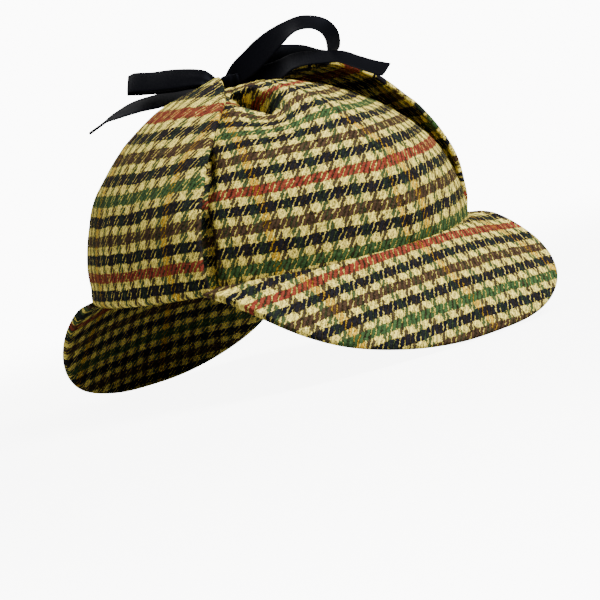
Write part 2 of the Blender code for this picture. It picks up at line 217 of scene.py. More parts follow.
# the softboxes' angles are in degrees and their lengths in metres; all of them point at
# the middle of the hat
HAT_MIDDLE = Vector((0.0, 0.0, 0.1))
Softbox = namedtuple("Softbox", "around above away side watts")
SOFTBOXES = (
    Softbox(around=21, above=47, away=1.5, side=0.7, watts=62.0),
    Softbox(around=-105, above=30, away=1.6, side=0.9, watts=5.0),
    Softbox(around=-175, above=56, away=1.6, side=1.0, watts=14.0),
)
for number, box in enumerate(SOFTBOXES):
    glow = bpy.data.lights.new("softbox_%d" % number, "AREA")
    glow.size = box.side
    glow.energy = box.watts
    stand = bpy.data.objects.new("softbox_%d" % number, glow)
    bpy.context.scene.collection.objects.link(stand)
    direction = way_to(math.radians(box.around), math.radians(box.above))
    stand.location = direction * box.away + HAT_MIDDLE
    stand.rotation_euler = direction.to_track_quat("Z", "Y").to_euler()

# The tweed: a soft woollen twill. Bands of about four coloured threads and four cream
# ones alternate both ways, which makes the houndstooth. Across the piece the colours run
# navy, red, navy, brown, navy, green, navy, brown. Along it dark olive and dark brown
# take turns, with one gold band in eight among the cream. Threads are about 1 mm thick.
WARP_THREAD = 0.98
WEFT_THREAD = 1.30
THREADS_IN_BAND = 4
WARP_COLOURED = 0.50
WEFT_COLOURED = 0.56
CREAM = "#DAC65E"
NAVY = "#0D0E18"
RED = "#6E2C20"
BROWN = "#3A2A1E"
DARK_BROWN = "#3C3422"
GREEN = "#2E4526"
GOLD = "#B48C24"
DARK_OLIVE = "#394528"
WEFT_COLOURS = (NAVY, RED, NAVY, BROWN, NAVY, GREEN, NAVY, BROWN)
WARP_COLOURS = (DARK_OLIVE, DARK_BROWN) * 4
WEFT_PALES = (CREAM,) * 8
WARP_PALES = (GOLD,) + (CREAM,) * 7
REPEAT = 2 * THREADS_IN_BAND * len(WEFT_COLOURS)
WEFT_BAND = 2 * THREADS_IN_BAND * WEFT_THREAD
WARP_BAND = 2 * THREADS_IN_BAND * WARP_THREAD

# The floats: how many threads apart they lie, how far they lean for each row, and what
# share of that width the warp takes over coloured weft and over cream weft. A float has
# a soft edge and rises from it this steeply. WARP_TINT is how much of the dark warp
# shows through the weft beside it.
THREADS_IN_FLOAT = 8 / 3
FLOAT_LEAN = 0.85
WARP_OVER_COLOUR = 0.23
WARP_OVER_CREAM = 0.66
FLOAT_EDGE = 0.05
FLOAT_SIDES = 8.5
WARP_TINT = 0.11

# a yarn is taken as dark below the first brightness and as pale above the second
DARK_YARN = 0.1
PALE_YARN = 0.3

# how far the yarn wanders, in threads, over waves of this size, and how fine they are
Wander = namedtuple("Wander", "size_mm detail threads")
WANDERS = (
    Wander(size_mm=16.0, detail=1.0, threads=2.0),
    Wander(size_mm=1.6, detail=2.0, threads=1.5),
    Wander(size_mm=0.6, detail=2.0, threads=1.4),
)

# the relief of threads and hairs, against that of a float, and its real depth
THREAD_RELIEF = 0.35
HAIR_RELIEF = 0.9
RELIEF_DEPTH = 0.0004
RELIEF_STRENGTH = 0.9

# the brightness of the colour: its start; the painted shade at the sides of each float and
# in the gaps between threads; what the dye's unevenness adds in patches and from hair to
# hair; and the least it may be
SHADE_AND_DYE_START = -1.92
PAINTED_SHADE_FLOAT = 1.10
PAINTED_SHADE_THREAD = 0.32
DYE_PATCH = 1.2
DYE_HAIR = 2.6
SHADE_AND_DYE_LEAST = 0.10


def thread_bands(tree, thread, colours, pales, coloured):
    """The colour of each thread of one direction: a coloured band, then a pale one."""
    share = add_node(tree, "ShaderNodeMath", {0: thread, 1: REPEAT}, operation="DIVIDE")
    part = add_node(tree, "ShaderNodeMath", {0: share.outputs[0]}, operation="FRACT")
    bands = add_node(tree, "ShaderNodeValToRGB", {"Fac": part.outputs[0]})
    ramp = bands.color_ramp
    ramp.interpolation = "CONSTANT"
    for number, pair in enumerate(zip(colours, pales)):
        for half, shade in enumerate(pair):
            start = (number + half * coloured) / len(colours)
            last = number == len(colours) - 1 and half == 1
            if start == 0:
                stop = ramp.elements[0]
            elif last:
                stop = ramp.elements[-1]
            else:
                stop = ramp.elements.new(start)
            stop.position = start
            stop.color = paint(shade)
    return bands.outputs["Color"]


def woven(name, hand):
    """Woollen tweed: dull and hairy, the floats of the twill leaning across the rows.

    hand is 1 where the floats climb to the right, -1 where they climb to the left.
    """
    made = bpy.data.materials.new(name)
    made.use_nodes = True
    tree = made.node_tree
    shader = tree.nodes["Principled BSDF"]

    def calculate(operation, *values, kind="ShaderNodeMath"):
        sockets = dict(enumerate(values))
        return add_node(tree, kind, sockets, operation=operation).outputs[0]

    def shift(operation, *values):
        return calculate(operation, *values, kind="ShaderNodeVectorMath")

    def mapped(value, start, end, low, high, **settings):
        """low up to the start, high from the end on, and a slope between them."""
        sockets = {"From Min": start, "From Max": end, "To Min": low, "To Max": high}
        sockets["Value"] = value
        return add_node(tree, "ShaderNodeMapRange", sockets, **settings).outputs["Result"]

    def mix_colours(share, first, second):
        sockets = {0: share, 6: first, 7: second}
        return add_node(tree, "ShaderNodeMix", sockets, data_type="RGBA").outputs[2]

    def grain(size_mm, detail, output="Fac"):
        sockets = {"Vector": object_at, "Scale": 1000.0 / size_mm, "Detail": detail}
        return add_node(tree, "ShaderNodeTexNoise", sockets).outputs[output]

    def brightness(colour):
        return add_node(tree, "ShaderNodeRGBToBW", {0: colour}).outputs[0]

    def roundness(thread):
        """0 between two threads and 1 along the middle of one."""
        wave = calculate("SINE", calculate("MULTIPLY", thread, math.pi))
        return calculate("ABSOLUTE", wave)

    object_at = add_node(tree, "ShaderNodeTexCoord").outputs["Object"]
    cloth_at = add_node(tree, "ShaderNodeUVMap", uv_map="Cloth").outputs["UV"]
    threads = shift("MULTIPLY", cloth_at, (1.0 / WARP_THREAD, 1.0 / WEFT_THREAD, 0.0))
    # the yarn wanders a little over some threads, and its hairs blur every edge
    for wander in WANDERS:
        off = grain(wander.size_mm, wander.detail, "Color")
        off = shift("SUBTRACT", off, (0.5, 0.5, 0.5))
        off = shift("MULTIPLY", off, (wander.threads, wander.threads, 0.0))
        threads = shift("ADD", threads, off)
    split = add_node(tree, "ShaderNodeSeparateXYZ", {0: threads})
    warp_at, weft_at = split.outputs["X"], split.outputs["Y"]
    warp_colour = thread_bands(tree, warp_at, WARP_COLOURS, WARP_PALES, WARP_COLOURED)
    weft_colour = thread_bands(tree, weft_at, WEFT_COLOURS, WEFT_PALES, WEFT_COLOURED)
    # the yarns are hairy, so the dark warp also tints the weft that lies between it
    tint = mapped(brightness(warp_colour), DARK_YARN, PALE_YARN, WARP_TINT, 0.0)
    weft_shown = mix_colours(tint, weft_colour, warp_colour)
    # the coloured weft is the thickest yarn, so it covers most of its own rows
    half_float = mapped(
        brightness(weft_colour),
        DARK_YARN,
        PALE_YARN,
        WARP_OVER_COLOUR / 2,
        WARP_OVER_CREAM / 2,
    )
    leaning = calculate("MULTIPLY_ADD", weft_at, -hand * FLOAT_LEAN, warp_at)
    ridge = calculate("PINGPONG", calculate("DIVIDE", leaning, THREADS_IN_FLOAT), 0.5)
    warp_on_top = mapped(
        ridge,
        calculate("ADD", half_float, FLOAT_EDGE),
        calculate("SUBTRACT", half_float, FLOAT_EDGE),
        0.0,
        1.0,
        interpolation_type="SMOOTHSTEP",
    )
    colour = mix_colours(warp_on_top, weft_shown, warp_colour)
    # every float is round: it is low at the sides and where the next thread crosses it
    float_round = calculate("ABSOLUTE", calculate("SUBTRACT", ridge, half_float))
    float_round = calculate("MULTIPLY", float_round, FLOAT_SIDES)
    float_round = calculate("MINIMUM", float_round, 1.0)
    thread_round = add_node(
        tree,
        "ShaderNodeMix",
        {0: warp_on_top, 2: roundness(weft_at), 3: roundness(warp_at)},
        data_type="FLOAT",
    ).outputs[0]
    height = calculate("MULTIPLY_ADD", thread_round, THREAD_RELIEF, float_round)
    height = calculate("MULTIPLY_ADD", grain(size_mm=0.5, detail=2.0), HAIR_RELIEF, height)
    bump = add_node(
        tree,
        "ShaderNodeBump",
        {"Height": height, "Strength": RELIEF_STRENGTH, "Distance": RELIEF_DEPTH},
    )
    # painted shade darkens the colour at the sides of each float and in the gaps between
    # threads, and the dye is uneven in patches and from hair to hair
    shade_and_dye = calculate("MULTIPLY_ADD", float_round, PAINTED_SHADE_FLOAT, SHADE_AND_DYE_START)
    shade_and_dye = calculate("MULTIPLY_ADD", thread_round, PAINTED_SHADE_THREAD, shade_and_dye)
    shade_and_dye = calculate("MULTIPLY_ADD", grain(size_mm=3.0, detail=1.0), DYE_PATCH, shade_and_dye)
    shade_and_dye = calculate("MULTIPLY_ADD", grain(size_mm=0.8, detail=2.0), DYE_HAIR, shade_and_dye)
    shade_and_dye = calculate("MAXIMUM", shade_and_dye, SHADE_AND_DYE_LEAST)
    shaded = add_node(
        tree, "ShaderNodeVectorMath", {0: colour, "Scale": shade_and_dye}, operation="SCALE"
    )
    tree.links.new(shaded.outputs[0], shader.inputs["Base Color"])
    tree.links.new(bump.outputs["Normal"], shader.inputs["Normal"])
    shader.inputs["Roughness"].default_value = 0.95
    shader.inputs["Specular IOR Level"].default_value = 0.05
    return made


tweed = woven("Woollen houndstooth tweed", hand=1.0)
peak_tweed = woven("Woollen houndstooth tweed on a stiff peak", hand=-1.0)

# The crown: six gores cut with their rows level and their columns upright, sewn edge
# to edge, with the seams pressed in and slightly puckered. It is drawn up to a ridge
# along the front seam, and crumpled on the wearer's right of it, beside the knot.
CROWN_LENGTH = 204.0
CROWN_WIDTH = 171.0
CROWN_HEIGHT = 86.0
# the crown seen from the side, in shares: reach ** CROWN_IN + height ** CROWN_UP is 1
CROWN_UP = 2.4
CROWN_IN = 1.6
GORE_CLOTH = 2.5
GORE_PUFF = 1.0
GORE_SWEEP = 60.0
GORE_TOP = 0.996
GORE_UNDER = 1.8
HEM_SINK = 0.5
HEM_SINK_WIDE = 2.2
ROWS_CLOSER = 1.13
SEAM_LAP = 1.3
SEAM_SINK = 1.6
SEAM_HALF_WIDTH = 1.3
SEAM_FADES_BELOW = 5.0
PUCKER_DEEP = 0.35
PUCKER_LONG = 8.0
PUCKER_WIDE = 5.0
FRONT_RIDGE = 3.2
FRONT_RIDGE_SPREAD = 13.0
FRONT_RIDGE_FROM = 30.0
# how soon the seams' relief fades out towards the top, where the gores meet
LAP_FADE = 3.0
SINK_FADE = 4.0
PUFF_FADE = 2.0
PUCKER_FADE = 3.0
RIDGE_FADE = 3.0
PUFF_SHOULDER = 0.7
LEAST_REACH = 0.1

# A dent's angle and rise say where it lies, and its across, along and depth are shares
# of the crown's height. turn leans its length to the wearer's right, in degrees. A
# negative depth is a swelling.
Dent = namedtuple("Dent", "angle rise across along depth turn", defaults=(0.0,))
DENTS = (
    Dent(angle=-32.5, rise=0.735, across=0.07, along=0.15, depth=0.21, turn=30),
    Dent(angle=-23, rise=0.67, across=0.035, along=0.12, depth=0.10, turn=-18),
    Dent(angle=-28, rise=0.68, across=0.13, along=0.14, depth=0.035),
    Dent(angle=-32, rise=0.83, across=0.08, along=0.05, depth=-0.04),
    Dent(angle=-13, rise=0.70, across=0.07, along=0.14, depth=-0.03),
    Dent(angle=-44, rise=0.68, across=0.08, along=0.10, depth=-0.02),
    Dent(angle=-28, rise=0.47, across=0.16, along=0.07, depth=-0.014),
    Dent(angle=-62, rise=0.14, across=0.05, along=0.20, depth=0.10),
    Dent(angle=-60, rise=0.37, across=0.05, along=0.17, depth=0.08),
    Dent(angle=55, rise=0.90, across=0.28, along=0.22, depth=-0.022),
    Dent(angle=24, rise=0.60, across=0.16, along=0.19, depth=0.018),
    Dent(angle=150, rise=0.66, across=0.14, along=0.21, depth=0.03),
    Dent(angle=-160, rise=0.60, across=0.14, along=0.19, depth=0.02),
)

DENT_FLATNESS = 1.4

# a dent goes level into the crown, and a little down near the top by this share, so that
# its upper lip hangs over it
DENT_DOWN = 0.7

# the cloth inside a dent is itself in small folds that run up and down
FOLDS = 5.5
FOLD_SLANT = 1.3
FOLD_DEPTH = 0.12

# the hollow has also pulled the rows of the tweed down round its lower side, by PULL at
# most, and over this width and length in millimetres
PULL = 13.0
PULL_ANGLE = -29.0
PULL_RISE = 0.59
PULL_ACROSS = 10.0
PULL_ALONG = 15.0

# soft unevenness of the cloth: how wide and how deep
Crease = namedtuple("Crease", "size depth")
GORE_CREASES = (Crease(size=24.0, depth=0.9), Crease(size=9.0, depth=0.25))

PROFILE_STEPS = 240
OVAL_STEPS = 12
SMALL_ANGLE = 0.5
SMALL_RISE = 0.01
OUT_LOWEST = 0.02
OUT_HIGHEST = 0.985


def oval(angle, grow=0.0):
    """A point of the rim's oval, seen from above, grown outwards."""
    turn = math.radians(angle)
    return Vector(
        (
            (CROWN_WIDTH / 2 + grow) * math.sin(turn),
            -(CROWN_LENGTH / 2 + grow) * math.cos(turn),
            0.0,
        )
    )


def oval_run(start, end):
    """The length along the rim's oval between two angles."""
    corners = [
        oval(start + (end - start) * i / OVAL_STEPS) for i in range(OVAL_STEPS + 1)
    ]
    run = sum((b - a).length for a, b in zip(corners, corners[1:]))
    return math.copysign(run, end - start)


profile_turns = [math.pi / 2 * i / PROFILE_STEPS for i in range(PROFILE_STEPS + 1)]
profile_points = [
    (max(0.0, math.cos(t)) ** (2 / CROWN_IN), math.sin(t) ** (2 / CROWN_UP))
    for t in profile_turns
]
profile_gone = [0.0]
for (r0, h0), (r1, h1) in zip(profile_points, profile_points[1:]):
    step = math.hypot((r1 - r0) * CROWN_LENGTH / 2, (h1 - h0) * CROWN_HEIGHT)
    profile_gone.append(profile_gone[-1] + step)
CROWN_RISE = profile_gone[-1]


def profile(rise):
    """Reach and height of the crown, in shares, this share of the way up its side."""
    target = min(max(rise, 0.0), 1.0) * CROWN_RISE
    low, high = 0, PROFILE_STEPS
    while high - low > 1:
        middle = (low + high) // 2
        if profile_gone[middle] > target:
            high = middle
        else:
            low = middle
    share = (target - profile_gone[low]) / (profile_gone[high] - profile_gone[low])
    (r0, h0), (r1, h1) = profile_points[low], profile_points[high]
    return r0 + (r1 - r0) * share, h0 + (h1 - h0) * share


def crown_at(angle, rise):
    """A point of the crown's outside before its seams and dents."""
    reach, height = profile(rise)
    point = oval(angle) * reach
    point.z = CROWN_HEIGHT * height
    return point


def crown_out(angle, rise):
    """The way out of the crown there."""
    rise = min(max(rise, OUT_LOWEST), OUT_HIGHEST)
    across = crown_at(angle + SMALL_ANGLE, rise) - crown_at(angle - SMALL_ANGLE, rise)
    up = crown_at(angle, rise + SMALL_RISE) - crown_at(angle, rise - SMALL_RISE)
    return across.cross(up).normalized()


def dent_depth(angle, rise):
    """How far the dents pull the cloth in at this place, in millimetres."""
    reach = profile(rise)[0]
    total = 0.0
    for dent in DENTS:
        apart = (angle - dent.angle + 180.0) % 360.0 - 180.0
        sideways = math.radians(apart) * reach * CROWN_WIDTH / 2
        upwards = (rise - dent.rise) * CROWN_RISE
        lean = math.radians(dent.turn)
        across = sideways * math.cos(lean) + upwards * math.sin(lean)
        along = upwards * math.cos(lean) - sideways * math.sin(lean)
        across /= dent.across * CROWN_HEIGHT
        along /= dent.along * CROWN_HEIGHT
        fall = math.exp(-((across**2 + along**2) ** DENT_FLATNESS))
        folds = 1.0 + FOLD_DEPTH * math.sin(FOLDS * across + FOLD_SLANT * along)
        total += dent.depth * CROWN_HEIGHT * fall * folds
    return total


def row_pull(angle, rise):
    """How far the hollow has pulled the rows down at this place, in millimetres."""
    sideways = math.radians(angle - PULL_ANGLE) * profile(rise)[0] * CROWN_WIDTH / 2
    upwards = (rise - PULL_RISE) * CROWN_RISE
    sideways /= PULL_ACROSS
    upwards /= PULL_ALONG
    return PULL * math.exp(-(sideways**2) - upwards**2)


def uneven(point, creases):
    """How far the cloth stands out here through its soft unevenness, in millimetres."""
    return sum(noise.noise(point / crease.size) * crease.depth for crease in creases)


def cloth(name, cells, place, wall, finish, offset=-1.0, edge=1.0):
    """A piece of cloth. place gives each point of its face and its place on the bolt.

    The wall lies inside the face at offset -1 and half on each side at 0. edge is the
    thickness of a folded edge, as a share of the wall.
    """
    sheet = bmesh.new()
    bmesh.ops.create_grid(sheet, x_segments=cells[0], y_segments=cells[1], size=0.5)
    bolt = {}
    rim = [vertex.index for vertex in sheet.verts if vertex.is_boundary]
    for vertex in sheet.verts:
        point, on_bolt = place(vertex.co.x + 0.5, vertex.co.y + 0.5)
        bolt[vertex.index] = on_bolt
        vertex.co = placed(point)
    cloth_map = sheet.loops.layers.uv.new("Cloth")
    for face in sheet.faces:
        face.smooth = True
        for loop in face.loops:
            loop[cloth_map].uv = bolt[loop.vert.index]
    mesh = bpy.data.meshes.new(name)
    sheet.to_mesh(mesh)
    sheet.free()
    mesh.materials.append(finish)
    made = bpy.data.objects.new(name, mesh)
    bpy.context.scene.collection.objects.link(made)
    thick = made.modifiers.new("Cloth", "SOLIDIFY")
    thick.thickness = wall * MM
    thick.offset = offset
    if edge < 1.0:
        folded = made.vertex_groups.new(name="Wall")
        folded.add(range(len(mesh.vertices)), 1.0, "REPLACE")
        folded.add(rim, edge, "REPLACE")
        thick.vertex_group = "Wall"
    soft = made.modifiers.new("Soft edges", "SUBSURF")
    soft.levels = 1
    soft.render_levels = 1
    return made


# column and row are where the gore's lower middle lies on the tweed, in bands, and bow
# is how fast its rows climb sideways. The crumpled gore has the finest mesh.
GORE_CELLS = (36, 62)
CRUMPLED_CELLS = (60, 110)
Gore = namedtuple("Gore", "node start column row bow")
GORES = (
    Gore("crown_gore_front_left", start=0, column=13.0, row=4.96, bow=-0.065),
    Gore("crown_gore_side_left", start=60, column=2.2, row=4.96, bow=0.0),
    Gore("crown_gore_back_left", start=120, column=5.0, row=4.96, bow=0.0),
    Gore("crown_gore_back_right", start=180, column=9.6, row=4.96, bow=0.0),
    Gore("crown_gore_side_right", start=240, column=6.5, row=4.96, bow=0.0),
    Gore("crown_gore_front_right", start=300, column=11.1, row=4.96, bow=0.065),
)
for gore in GORES:
    gore_bottom = oval_run(gore.start, gore.start + GORE_SWEEP)

    def gore_place(across, up, gore=gore, gore_bottom=gore_bottom):
        upwards = up * (GORE_TOP * CROWN_RISE + GORE_UNDER) - GORE_UNDER
        rise = max(upwards, 0.0) / CROWN_RISE
        reach = profile(rise)[0]
        lap = SEAM_LAP * min(1.0, reach * LAP_FADE)
        lap = math.degrees(lap / (CROWN_WIDTH / 2 * max(reach, LEAST_REACH)))
        angle = gore.start + GORE_SWEEP * across + lap * (2 * across - 1)
        middle = gore.start + GORE_SWEEP / 2
        sideways = oval_run(middle, angle) * reach
        seam = min(across, 1 - across) * gore_bottom * reach
        above_hem = upwards + GORE_UNDER
        puff = GORE_PUFF * math.sin(math.pi * across) ** PUFF_SHOULDER
        out = puff * min(1.0, reach * PUFF_FADE)
        sink = SEAM_SINK * min(1.0, reach * SINK_FADE, above_hem / SEAM_FADES_BELOW)
        out -= sink * math.exp(-((seam / SEAM_HALF_WIDTH) ** 2))
        pucker = PUCKER_DEEP * math.sin(2 * math.pi * upwards / PUCKER_LONG + gore.start)
        out += pucker * math.exp(-seam / PUCKER_WIDE) * min(1.0, reach * PUCKER_FADE)
        from_front = (angle + 180.0) % 360.0 - 180.0
        ridge = FRONT_RIDGE * math.exp(-abs(from_front) / FRONT_RIDGE_SPREAD)
        up_the_side = max(upwards, 0.0) / FRONT_RIDGE_FROM
        out += ridge * min(1.0, up_the_side, (1.0 - rise) * RIDGE_FADE)
        point = crown_at(angle, rise)
        out += uneven(point, GORE_CREASES)
        out -= HEM_SINK * math.exp(-((above_hem / HEM_SINK_WIDE) ** 2))
        point += crown_out(angle, rise) * out
        outwards = oval(angle).normalized() + Vector((0.0, 0.0, DENT_DOWN * rise))
        point -= outwards.normalized() * dent_depth(angle, rise)
        point.z += min(upwards, 0.0)
        rows = upwards * ROWS_CLOSER + gore.bow * sideways + row_pull(from_front, rise)
        return point, (
            sideways + gore.column * WARP_BAND,
            rows + gore.row * WEFT_BAND,
        )

    crumpled = gore.node == "crown_gore_front_right"
    piece = cloth(
        "tweed_" + gore.node,
        CRUMPLED_CELLS if crumpled else GORE_CELLS,
        gore_place,
        GORE_CLOTH,
        tweed,
    )
    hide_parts(gore.node)
    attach(piece, "root")

# The peaks: two layers of the tweed over a stiff board, sewn under the rim. The front
# one curves down and out over the brow, the rear one falls steeply over the nape.
PEAK_CLOTH = 3.6
PEAK_SEAT = 1.1
PEAK_TUCKED = 0.9
PEAK_CROWNING = 0.07
PEAK_SHOULDER = 0.58
PEAK_ARCH = 2.3
PEAK_CELLS = (90, 30)
PEAK_CREASES = (Crease(size=30.0, depth=0.7),)
PEAK_EDGE = 0.5

# The rows of the tweed run straight across the peak's pattern, so on the made-up peak
# they bow outwards with its fall, and the columns fan out a little.
ROWS_OUT = 0.383
ROWS_DOWN = 1.159
COLUMNS_AT_SEAM = 1.16
COLUMNS_AT_EDGE = 1.03
# where the middle of the peak's seam lies on the tweed, in bands
PEAK_COLUMN = 0.4
PEAK_ROW = 0.78
Peak = namedtuple("Peak", "node middle end reach drop wide")
PEAKS = (
    Peak("front_peak", middle=0, end=62.0, reach=42.0, drop=44.3, wide=82.6),
    Peak("rear_peak", middle=180, end=55.5, reach=42.0, drop=58.3, wide=77.0),
)
for peak in PEAKS:

    def peak_place(across, out_share, peak=peak):
        share = 2 * across - 1
        facing = 1.0
        if peak.middle == 0:
            share, facing = -share, -1.0
        corner = CROWN_LENGTH / 2 * math.cos(math.radians(peak.end))
        length = CROWN_LENGTH / 2 + peak.reach - corner
        inner = oval(peak.middle + facing * -share * peak.end, -PEAK_TUCKED)
        inner.z = -PEAK_SEAT
        turn = share * math.pi / 2
        outer = Vector(
            (
                peak.wide * math.sin(turn),
                facing * (corner + length * max(math.cos(turn), 0.0) ** PEAK_SHOULDER),
                -PEAK_SEAT - peak.drop * (1 - abs(share) ** PEAK_ARCH),
            )
        )
        point = inner.lerp(outer, out_share)
        crowning = peak.drop * PEAK_CROWNING * math.sin(math.pi * out_share)
        point.z += crowning * (1 - share**4)
        point.z += uneven(point, PEAK_CREASES)
        outwards = ROWS_OUT * (abs(point.y) - CROWN_LENGTH / 2) - ROWS_DOWN * point.z
        columns = COLUMNS_AT_SEAM * (1 - out_share) + COLUMNS_AT_EDGE * out_share
        return point, (
            point.x * columns + PEAK_COLUMN * WARP_BAND,
            outwards + PEAK_ROW * WEFT_BAND,
        )

    piece = cloth(
        "tweed_" + peak.node,
        PEAK_CELLS,
        peak_place,
        PEAK_CLOTH,
        peak_tweed,
        offset=0.0,
        edge=PEAK_EDGE,
    )
    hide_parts(peak.node)
    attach(piece, "root")

# The ear flaps: double tweed, sewn under the rim, rolled round a soft hem and folded up
# over the sides of the crown. The right one lies close, the left one stands off.
FLAP_CLOTH = 2.6
FLAP_CLEARANCE = 0.3
FLAP_FRONT = 63.5
FLAP_REAR = 122.5
FLAP_WIDENS = 6.0
FLAP_NARROWS = 28.0
FLAP_NARROWS_FROM = 0.6
FLAP_ROUNDS_FROM = 0.7
FLAP_TOP = 0.91
FLAP_TIP_ROUND = 0.06
FLAP_CELLS = (60, 70)
FLAP_CREASES = (Crease(size=26.0, depth=0.9), Crease(size=9.0, depth=0.3))
HEM_SHARE = 0.10
HEM_TUCKED_SHARE = 0.4
HEM_RISE = 0.03
HEM_BULGE = 1.2
HEM_ROLL = 2.6
HEM_UNDER = 0.4
HEM_ROWS_FROM = -1.0

# the rows of the tweed are closer low on the flap than on the bolt, and less so above
FLAP_ROWS_LOW = 1.409
FLAP_ROWS_LOOSEN = 0.00404

# a flap's stand-off at each rise, for its front, middle and rear, as shares of standoff
Lift = namedtuple("Lift", "rise front middle rear")
RIGHT_LIFTS = (
    Lift(rise=0.00, front=0.8, middle=0.1, rear=0.1),
    Lift(rise=0.08, front=2.6, middle=0.3, rear=0.1),
    Lift(rise=0.20, front=2.9, middle=0.5, rear=0.1),
    Lift(rise=0.35, front=1.9, middle=0.8, rear=1.0),
    Lift(rise=0.55, front=0.6, middle=1.4, rear=1.7),
    Lift(rise=0.75, front=0.8, middle=2.0, rear=2.2),
    Lift(rise=0.90, front=3.2, middle=2.6, rear=1.6),
)
LEFT_LIFTS = (
    Lift(rise=0.00, front=0.35, middle=0.10, rear=0.05),
    Lift(rise=0.25, front=0.66, middle=0.50, rear=0.30),
    Lift(rise=0.40, front=0.80, middle=0.75, rear=0.50),
    Lift(rise=0.55, front=1.18, middle=1.10, rear=0.80),
    Lift(rise=0.65, front=1.20, middle=1.15, rear=0.90),
    Lift(rise=0.78, front=0.72, middle=0.74, rear=0.70),
    Lift(rise=0.90, front=0.30, middle=0.35, rear=0.35),
)
# front is the angle of the front edge at the rim, widens is how far that edge leans
# forward above, and rounds is how its top corner is cut; column and row are as a gore's
Flap = namedtuple("Flap", "node side standoff lifts front widens rounds column row")
FLAPS = (
    Flap(
        "ear_flap_right",
        side=-1,
        standoff=1.6,
        lifts=RIGHT_LIFTS,
        front=61.5,
        widens=12.0,
        rounds=450.0,
        column=20.0,
        row=-0.26,
    ),
    Flap(
        "ear_flap_left",
        side=1,
        standoff=8.5,
        lifts=LEFT_LIFTS,
        front=63.5,
        widens=6.0,
        rounds=0.0,
        column=20.3,
        row=0.24,
    ),
)


def between_rows(rows, rise, name):
    """A column's value between the rows of a table that has a rise column."""
    rise = min(max(rise, rows[0].rise), rows[-1].rise)
    for low, high in zip(rows, rows[1:]):
        if rise <= high.rise:
            share = (rise - low.rise) / (high.rise - low.rise)
            share = share * share * (3 - 2 * share)
            return getattr(low, name) * (1 - share) + getattr(high, name) * share
    return getattr(rows[-1], name)


def flap_lift(lifts, rise, share):
    """Stand-off of a flap between the columns of its table."""
    near, far = ("front", "middle") if share < 0.5 else ("middle", "rear")
    mix = share * 2 - (0 if share < 0.5 else 1)
    mix = mix * mix * (3 - 2 * mix)
    low, high = between_rows(lifts, rise, near), between_rows(lifts, rise, far)
    return low * (1 - mix) + high * mix


for flap in FLAPS:

    def flap_place(across, up, flap=flap):
        share = across if flap.side > 0 else 1 - across
        base = GORE_PUFF + FLAP_CLEARANCE + FLAP_CLOTH / 2
        seat = -(HEM_UNDER + FLAP_CLOTH / 2)
        centre = base + HEM_BULGE - HEM_ROLL
        middle = (FLAP_FRONT + FLAP_REAR) / 2
        if up < HEM_SHARE:
            along = up / HEM_SHARE
            angle = flap.front + (FLAP_REAR - flap.front) * share
            if along < HEM_TUCKED_SHARE:
                tucked = GORE_CLOTH / 2
                out = -tucked + (centre + tucked) * along / HEM_TUCKED_SHARE
                down = seat
            else:
                rolled = (along - HEM_TUCKED_SHARE) / (1 - HEM_TUCKED_SHARE)
                turn = rolled * math.pi / 2
                out = centre + HEM_ROLL * math.sin(turn)
                down = seat + HEM_ROLL * (1 - math.cos(turn))
            point = oval(flap.side * angle, out)
            point.z = down
            height = down - seat + HEM_ROWS_FROM
            reach = 1.0
        else:
            row_share = (up - HEM_SHARE) / (1 - HEM_SHARE)
            edge = abs(2 * share - 1)
            top = FLAP_TOP * (1 - FLAP_TIP_ROUND * edge**3)
            rise = HEM_RISE + (top - HEM_RISE) * row_share
            beyond = max(0.0, rise - FLAP_NARROWS_FROM) / (FLAP_TOP - FLAP_NARROWS_FROM)
            front = flap.front - flap.widens * rise
            front += flap.rounds * max(0.0, rise - FLAP_ROUNDS_FROM) ** 2
            rear = FLAP_REAR + FLAP_WIDENS * rise - FLAP_NARROWS * beyond**2
            angle = front + (rear - front) * share
            out = base + flap.standoff * flap_lift(flap.lifts, rise, share)
            point = crown_at(flap.side * angle, rise)
            out += uneven(point, FLAP_CREASES)
            point += crown_out(flap.side * angle, rise) * out
            height = rise * CROWN_RISE
            reach = profile(rise)[0]
        sideways = oval_run(middle, angle) * reach * flap.side
        rows = height * (FLAP_ROWS_LOW - FLAP_ROWS_LOOSEN * height)
        return point, (
            sideways + flap.column * WARP_BAND,
            rows + flap.row * WEFT_BAND,
        )

    piece = cloth(
        "tweed_" + flap.node, FLAP_CELLS, flap_place, FLAP_CLOTH, tweed, offset=0.0
    )
    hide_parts(flap.node)
    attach(piece, "root")

# The bow: a black satin ribbon, 12 mm wide, sewn to the flaps' tips and tied over the
# crown, with one open loop, one flattened loop and two tails.
RIBBON_WIDTH = 12.0
RIBBON_CLOTH = 0.7
BOW_SPAN = 50.0
BOW_HEADING = math.radians(35.0)
RIBBON_CELLS = 8
RIBBON_STEPS = 120
RIBBON_CUP = 0.35
RUFFLES = 7.0
RUFFLE_DEEP = 0.8
SATIN_BLACK = "#040406"
SATIN_SHEEN = "#C9D2F0"
# at this scale the ribs are 0.79 mm apart
RIB_SCALE = 0.4
RIB_DEPTH = 0.0001
KNOT_SIZE = Vector((11.0, 10.0, 7.0))
KNOT_SINK = 0.8
KNOT_PLACE = Vector((-4.0, 0.0, CROWN_HEIGHT - KNOT_SINK + KNOT_SIZE.z / 2))

satin = bpy.data.materials.new("Black satin ribbon")
satin.use_nodes = True
tree = satin.node_tree
shader = tree.nodes["Principled BSDF"]
